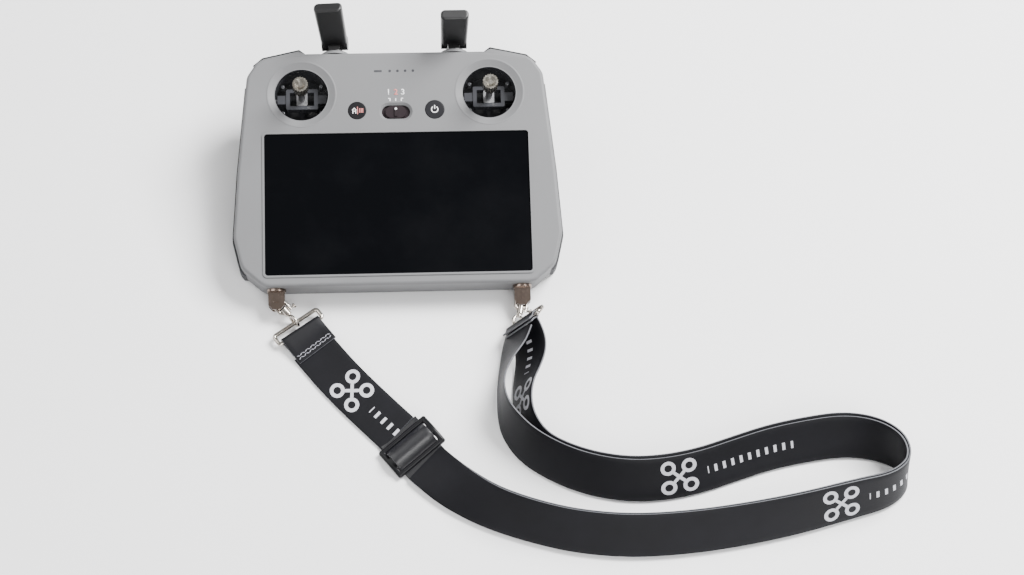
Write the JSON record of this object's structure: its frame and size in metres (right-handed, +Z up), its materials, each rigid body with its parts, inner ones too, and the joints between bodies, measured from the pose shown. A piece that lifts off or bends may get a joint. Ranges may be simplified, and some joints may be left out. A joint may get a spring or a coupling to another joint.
{
  "type": "radio transmitter controller",
  "caption": "Handheld model-aircraft controller with built-in screen, two thumb sticks, top antennas and a clipped-on neck strap.",
  "frame": {"origin": "on the table under the middle of the controller (lanyard not counted)", "axes": "+X to the right across the screen, +Y away from the person holding it, +Z up from the table it rests on; the face leans 18 degrees towards the person"},
  "size_m": [0.3326, 0.2804, 0.0805],
  "materials": {
    "antenna_plastic": "satin",
    "steel_satin": "satin",
    "battery_wrap": "satin film",
    "board": "satin solder mask",
    "button_charcoal": "satin",
    "casing_grey": "fine matt texture",
    "grip_rubber": "soft matt",
    "button_dark": "satin",
    "steel": "polished nickel plate",
    "screw_steel": "blackened",
    "lcd": "satin",
    "light_pipe": "satin",
    "magnesium": "bead blasted",
    "screen": "polished",
    "casing_dark": "satin",
    "buckle_plastic": "moulded satin",
    "stick_cap": "knurled, bright",
    "stick_metal": "turned satin",
    "well_plastic": "satin",
    "webbing": "woven ribbon"
  },
  "bodies": {
    "shell": {"battery_pack": "battery_wrap", "button_board": "board", "dial_axle_left": "steel_satin", "dial_axle_right": "steel_satin", "front_shell": "casing_grey", "grip_left": "grip_rubber", "grip_right": "grip_rubber", "housing_screws": "screw_steel", "lcd_panel": "lcd", "led_light_pipes": "light_pipe", "main_board": "board", "mid_frame": "magnesium", "rear_shell": "casing_grey", "screen_glass": "screen", "shoulder_left": "casing_dark", "shoulder_right": "casing_dark", "slider": "buckle_plastic", "speaker": "casing_dark", "stick_well_left": "well_plastic", "stick_well_right": "well_plastic", "strap_inner": "webbing", "strap_left": "webbing", "strap_outer": "webbing", "top_screws": "screw_steel", "usb_port": "steel_satin"},
    "yoke_left": {"stick_yoke_left": "well_plastic"},
    "stick_left": {"stick_post_left": "stick_metal", "stick_head_left": "stick_cap"},
    "record_button": {"record_button": "button_charcoal"},
    "dial_left": {"dial_left": "button_charcoal"},
    "rear_button_left": {"rear_button_left": "button_dark"},
    "antenna_base_left": {"antenna_base_left": "antenna_plastic", "antenna_pin_left": "steel_satin"},
    "antenna_blade_left": {"antenna_blade_left": "antenna_plastic"},
    "bracket_left": {"strap_bracket_left": "steel_satin", "bracket_pin_left": "steel_satin"},
    "ring_left": {"strap_ring_left": "steel", "swivel_eye_left": "steel", "strap_fold_left": "webbing"},
    "hook_left": {"hook_left": "steel"},
    "hook_gate_left": {"hook_gate_left": "steel"},
    "yoke_right": {"stick_yoke_right": "well_plastic"},
    "stick_right": {"stick_post_right": "stick_metal", "stick_head_right": "stick_cap"},
    "shutter_button": {"shutter_button": "button_charcoal"},
    "dial_right": {"dial_right": "button_charcoal"},
    "rear_button_right": {"rear_button_right": "button_dark"},
    "antenna_base_right": {"antenna_base_right": "antenna_plastic", "antenna_pin_right": "steel_satin"},
    "antenna_blade_right": {"antenna_blade_right": "antenna_plastic"},
    "bracket_right": {"strap_bracket_right": "steel_satin", "bracket_pin_right": "steel_satin"},
    "ring_right": {"strap_ring_right": "steel", "swivel_eye_right": "steel", "strap_fold_right": "webbing"},
    "hook_right": {"hook_right": "steel"},
    "hook_gate_right": {"hook_gate_right": "steel"},
    "home_pause_button": {"home_pause_button": "button_dark"},
    "power_button": {"power_button": "button_charcoal"},
    "mode_switch": {"mode_switch_knob": "button_dark"}
  },
  "joints": [
    {"name": "stick_pitch_left", "type": "hinge", "parent": "shell", "child": "yoke_left", "pos_m": [-0.0485, 0.03877, 0.03747], "axis": [1, 0, 0], "range_deg": [-22, 22], "stiffness_Nm_per_rad": 0.04},
    {"name": "stick_roll_left", "type": "hinge", "parent": "yoke_left", "child": "stick_left", "pos_m": [-0.0485, 0.03877, 0.03747], "axis": [0, 0.9511, 0.309], "range_deg": [-22, 22], "stiffness_Nm_per_rad": 0.04},
    {"name": "record_press", "type": "slide", "parent": "shell", "child": "record_button", "axis": [0.2164, -0.9285, -0.3017], "range_m": [0, 0.0008], "stiffness_N_per_m": 1200, "springref_m": -0.0003},
    {"name": "dial_turn_left", "type": "hinge", "parent": "shell", "child": "dial_left", "pos_m": [-0.0666, 0.05249, 0.02889], "axis": [1, 0, 0], "range_deg": [-35, 35], "stiffness_Nm_per_rad": 0.01},
    {"name": "rear_press_left", "type": "slide", "parent": "shell", "child": "rear_button_left", "axis": [0, -0.309, 0.9511], "range_m": [0, 0.0006], "stiffness_N_per_m": 1200, "springref_m": -0.0003},
    {"name": "antenna_turn_left", "type": "hinge", "parent": "shell", "child": "antenna_base_left", "pos_m": [-0.031, 0.0589, 0.04769], "axis": [0, 0.9511, 0.309], "range_deg": [-80, 80]},
    {"name": "antenna_tilt_left", "type": "hinge", "parent": "antenna_base_left", "child": "antenna_blade_left", "pos_m": [-0.031, 0.06603, 0.05], "axis": [0.9945, -0.0323, 0.0994], "range_deg": [-70, 18]},
    {"name": "bracket_turn_left", "type": "hinge", "parent": "shell", "child": "bracket_left", "pos_m": [-0.0625, -0.05903, 0.00937], "axis": [0, 0.9511, 0.309], "range_deg": [-3, 3]},
    {"name": "clip_swing_left", "type": "hinge", "parent": "shell", "child": "ring_left", "pos_m": [-0.0625, -0.06493, 0.00745], "axis": [0, -0.309, 0.9511], "range_deg": [-3, 3]},
    {"name": "hook_swivel_left", "type": "hinge", "parent": "ring_left", "child": "hook_left", "pos_m": [-0.0625, -0.06493, 0.00745], "axis": [0.6593, -0.7238, -0.2038], "range_deg": [-4, 4]},
    {"name": "gate_pull_left", "type": "slide", "parent": "hook_left", "child": "hook_gate_left", "axis": [0.6593, -0.7238, -0.2038], "range_m": [0, 0.002], "stiffness_N_per_m": 200, "springref_m": -0.0005},
    {"name": "stick_pitch_right", "type": "hinge", "parent": "shell", "child": "yoke_right", "pos_m": [0.0485, 0.03877, 0.03747], "axis": [1, 0, 0], "range_deg": [-22, 22], "stiffness_Nm_per_rad": 0.04},
    {"name": "stick_roll_right", "type": "hinge", "parent": "yoke_right", "child": "stick_right", "pos_m": [0.0485, 0.03877, 0.03747], "axis": [0, 0.9511, 0.309], "range_deg": [-22, 22], "stiffness_Nm_per_rad": 0.04},
    {"name": "shutter_press", "type": "slide", "parent": "shell", "child": "shutter_button", "axis": [-0.2164, -0.9285, -0.3017], "range_m": [0, 0.0008], "stiffness_N_per_m": 1200, "springref_m": -0.0003},
    {"name": "dial_turn_right", "type": "hinge", "parent": "shell", "child": "dial_right", "pos_m": [0.0666, 0.05249, 0.02889], "axis": [1, 0, 0], "range_deg": [-35, 35], "stiffness_Nm_per_rad": 0.01},
    {"name": "rear_press_right", "type": "slide", "parent": "shell", "child": "rear_button_right", "axis": [0, -0.309, 0.9511], "range_m": [0, 0.0006], "stiffness_N_per_m": 1200, "springref_m": -0.0003},
    {"name": "antenna_turn_right", "type": "hinge", "parent": "shell", "child": "antenna_base_right", "pos_m": [0.031, 0.0589, 0.04769], "axis": [0, 0.9511, 0.309], "range_deg": [-80, 80]},
    {"name": "antenna_tilt_right", "type": "hinge", "parent": "antenna_base_right", "child": "antenna_blade_right", "pos_m": [0.031, 0.06603, 0.05], "axis": [1, 0, 0], "range_deg": [-81, 7]},
    {"name": "bracket_turn_right", "type": "hinge", "parent": "shell", "child": "bracket_right", "pos_m": [0.0625, -0.05903, 0.00937], "axis": [0, 0.9511, 0.309], "range_deg": [-3, 3]},
    {"name": "clip_swing_right", "type": "hinge", "parent": "shell", "child": "ring_right", "pos_m": [0.0625, -0.06493, 0.00745], "axis": [0, -0.309, 0.9511], "range_deg": [-3, 3]},
    {"name": "hook_swivel_right", "type": "hinge", "parent": "ring_right", "child": "hook_right", "pos_m": [0.0625, -0.06493, 0.00745], "axis": [-0.1859, -0.9704, -0.1538], "range_deg": [-4, 4]},
    {"name": "gate_pull_right", "type": "slide", "parent": "hook_right", "child": "hook_gate_right", "axis": [-0.1859, -0.9704, -0.1538], "range_m": [0, 0.002], "stiffness_N_per_m": 200, "springref_m": -0.0005},
    {"name": "home_pause_press", "type": "slide", "parent": "shell", "child": "home_pause_button", "axis": [0, 0.309, -0.9511], "range_m": [0, 0.0006], "stiffness_N_per_m": 1200, "springref_m": -0.0003},
    {"name": "power_press", "type": "slide", "parent": "shell", "child": "power_button", "axis": [0, 0.309, -0.9511], "range_m": [0, 0.0006], "stiffness_N_per_m": 1200, "springref_m": -0.0003},
    {"name": "mode_switch_slide", "type": "slide", "parent": "shell", "child": "mode_switch", "axis": [1, 0, 0], "range_m": [-0.0018, 0.0018]}
  ]
}
